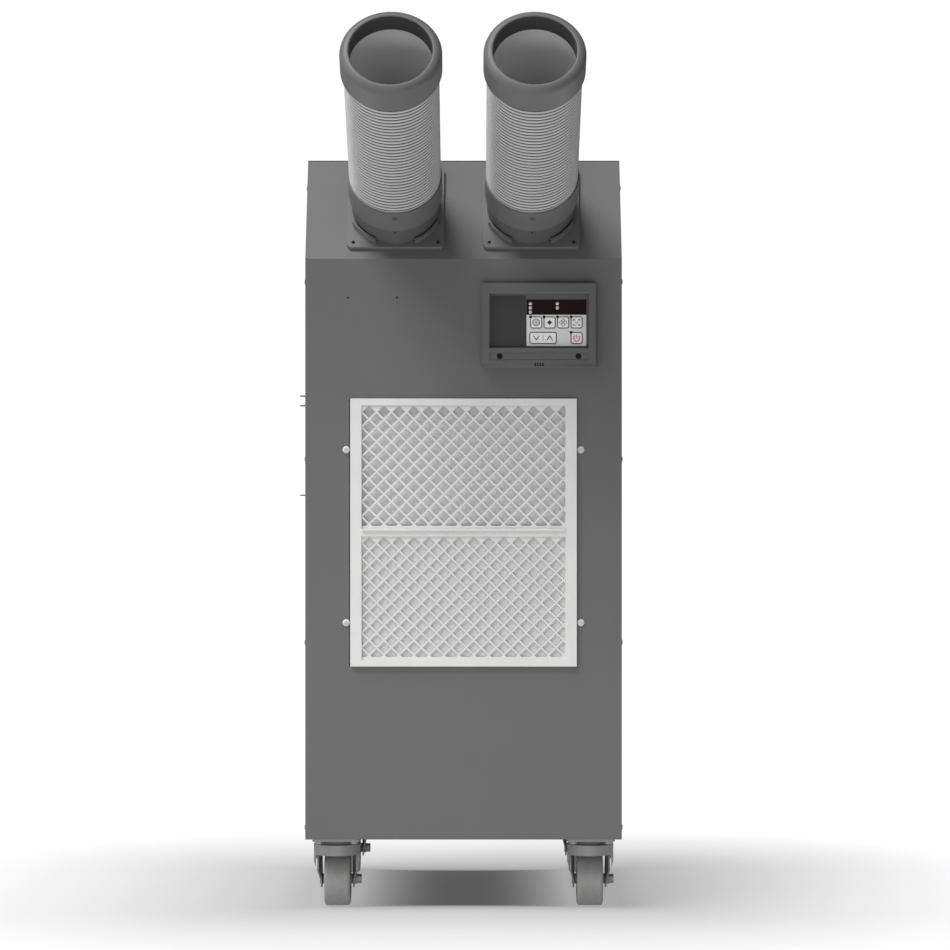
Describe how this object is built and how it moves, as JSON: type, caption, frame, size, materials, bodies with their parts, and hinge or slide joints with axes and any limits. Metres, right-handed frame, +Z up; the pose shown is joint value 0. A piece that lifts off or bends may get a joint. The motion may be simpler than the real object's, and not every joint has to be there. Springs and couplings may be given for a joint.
{
  "type": "water-cooled spot cooler",
  "caption": "Upright wheeled spot cooler with a front filter, a key panel, rear water unions and ribbed air nozzles on a sloping top.",
  "frame": {"origin": "on the floor, below the middle of the cooler's whole depth and of its cabinet's width", "axes": "+Z up, -Y the way the front and the nozzles face, +X to the right as seen from the front"},
  "size_m": [0.5167, 0.9512, 1.3835],
  "materials": {
    "panel_paint": "satin",
    "plated_screws": "satin",
    "zinc_steel": "satin",
    "white_screws": "satin",
    "bezel_plastic": "matte",
    "black_screws": "satin",
    "key_overlay": "satin",
    "display_black": "gloss",
    "lamp_lens": "satin",
    "board": "satin",
    "nozzle_plastic": "satin",
    "hose_plastic": "satin",
    "motor_paint": "satin",
    "coil_aluminium": "satin",
    "black_plastic": "matte",
    "brass": "satin",
    "copper": "satin",
    "filter_plastic": "satin",
    "filter_mat": "matte",
    "key_cap": "satin",
    "power_cap": "satin",
    "wheel_rubber": "matte"
  },
  "bodies": {
    "cabinet": {"base_pan": "panel_paint", "front_panel": "panel_paint", "top_cover": "panel_paint", "side_panel_left": "panel_paint", "side_panel_right": "panel_paint", "back_panel": "panel_paint", "side_cleats": "panel_paint", "component_shelf": "panel_paint", "panel_screws": "plated_screws", "filter_rails": "zinc_steel", "caster_plates": "zinc_steel", "caster_bolts": "zinc_steel", "plenum": "zinc_steel", "blower_housing": "zinc_steel", "electrical_box": "zinc_steel", "plate_condenser": "zinc_steel", "filter_screws": "white_screws", "control_bezel": "bezel_plastic", "bezel_screws": "black_screws", "flange_screws": "black_screws", "key_plate": "key_overlay", "display_window": "display_black", "indicator_lamps": "lamp_lens", "control_board": "board", "nozzle_flange_left": "nozzle_plastic", "nozzle_flange_right": "nozzle_plastic", "blower_motor": "motor_paint", "compressor": "motor_paint", "evaporator_coil": "coil_aluminium", "drain_pan": "black_plastic", "cable_gland": "black_plastic", "water_valve": "brass", "water_unions": "brass", "water_pipes": "copper", "refrigerant_lines": "copper"},
    "filter_cassette": {"filter_frame": "filter_plastic", "filter_grilles": "filter_plastic", "filter_mat": "filter_mat"},
    "mode_button": {"mode_key": "key_cap"},
    "cool_button": {"cool_key": "key_cap"},
    "fan_button": {"fan_key": "key_cap"},
    "timer_button": {"timer_key": "key_cap"},
    "power_button": {"power_key": "power_cap"},
    "temperature_rocker": {"temperature_key": "key_cap"},
    "blower": {"blower_wheel": "coil_aluminium"},
    "nozzle_left": {"nozzle_collar_left": "nozzle_plastic", "nozzle_hose_left": "hose_plastic", "nozzle_ring_left": "nozzle_plastic"},
    "nozzle_right": {"nozzle_collar_right": "nozzle_plastic", "nozzle_hose_right": "hose_plastic", "nozzle_ring_right": "nozzle_plastic"},
    "fork_front_left": {"caster_fork_front_left": "zinc_steel"},
    "wheel_front_left": {"caster_wheel_front_left": "wheel_rubber"},
    "fork_front_right": {"caster_fork_front_right": "zinc_steel"},
    "wheel_front_right": {"caster_wheel_front_right": "wheel_rubber"},
    "fork_rear_left": {"caster_fork_rear_left": "zinc_steel"},
    "wheel_rear_left": {"caster_wheel_rear_left": "wheel_rubber"},
    "fork_rear_right": {"caster_fork_rear_right": "zinc_steel"},
    "wheel_rear_right": {"caster_wheel_rear_right": "wheel_rubber"}
  },
  "joints": [
    {"name": "filter_slide", "type": "slide", "parent": "cabinet", "child": "filter_cassette", "axis": [0, -1, 0], "range_m": [0, 0.06]},
    {"name": "mode_press", "type": "slide", "parent": "cabinet", "child": "mode_button", "axis": [0, 1, 0], "range_m": [0, 0.0008], "stiffness_N_per_m": 900},
    {"name": "cool_press", "type": "slide", "parent": "cabinet", "child": "cool_button", "axis": [0, 1, 0], "range_m": [0, 0.0008], "stiffness_N_per_m": 900},
    {"name": "fan_press", "type": "slide", "parent": "cabinet", "child": "fan_button", "axis": [0, 1, 0], "range_m": [0, 0.0008], "stiffness_N_per_m": 900},
    {"name": "timer_press", "type": "slide", "parent": "cabinet", "child": "timer_button", "axis": [0, 1, 0], "range_m": [0, 0.0008], "stiffness_N_per_m": 900},
    {"name": "power_press", "type": "slide", "parent": "cabinet", "child": "power_button", "axis": [0, 1, 0], "range_m": [0, 0.0008], "stiffness_N_per_m": 900},
    {"name": "temperature_rock", "type": "hinge", "parent": "cabinet", "child": "temperature_rocker", "pos_m": [0.1254, -0.12761, 0.9049], "axis": [0, 0, 1], "range_deg": [-1.6, 1.6], "stiffness_Nm_per_rad": 0.12},
    {"name": "blower_spin", "type": "hinge", "parent": "cabinet", "child": "blower", "pos_m": [0, 0.16409, 0.882], "axis": [1, 0, 0], "continuous": true},
    {"name": "nozzle_left_turn", "type": "hinge", "parent": "cabinet", "child": "nozzle_left", "pos_m": [-0.1075, -0.14072, 1.14766], "axis": [0, -0.866, 0.5], "continuous": true},
    {"name": "nozzle_right_turn", "type": "hinge", "parent": "cabinet", "child": "nozzle_right", "pos_m": [0.1075, -0.14072, 1.14766], "axis": [0, -0.866, 0.5], "continuous": true},
    {"name": "swivel_front_left", "type": "hinge", "parent": "cabinet", "child": "fork_front_left", "pos_m": [-0.2015, -0.07091, 0.1], "axis": [0, 0, 1], "continuous": true},
    {"name": "roll_front_left", "type": "hinge", "parent": "fork_front_left", "child": "wheel_front_left", "pos_m": [-0.2015, -0.04691, 0.0425], "axis": [1, 0, 0], "continuous": true},
    {"name": "swivel_front_right", "type": "hinge", "parent": "cabinet", "child": "fork_front_right", "pos_m": [0.2015, -0.07091, 0.1], "axis": [0, 0, 1], "continuous": true},
    {"name": "roll_front_right", "type": "hinge", "parent": "fork_front_right", "child": "wheel_front_right", "pos_m": [0.2015, -0.04691, 0.0425], "axis": [1, 0, 0], "continuous": true},
    {"name": "swivel_rear_left", "type": "hinge", "parent": "cabinet", "child": "fork_rear_left", "pos_m": [-0.2015, 0.38909, 0.1], "axis": [0, 0, 1], "continuous": true},
    {"name": "roll_rear_left", "type": "hinge", "parent": "fork_rear_left", "child": "wheel_rear_left", "pos_m": [-0.2015, 0.41309, 0.0425], "axis": [1, 0, 0], "continuous": true},
    {"name": "swivel_rear_right", "type": "hinge", "parent": "cabinet", "child": "fork_rear_right", "pos_m": [0.2015, 0.38909, 0.1], "axis": [0, 0, 1], "continuous": true},
    {"name": "roll_rear_right", "type": "hinge", "parent": "fork_rear_right", "child": "wheel_rear_right", "pos_m": [0.2015, 0.41309, 0.0425], "axis": [1, 0, 0], "continuous": true}
  ]
}
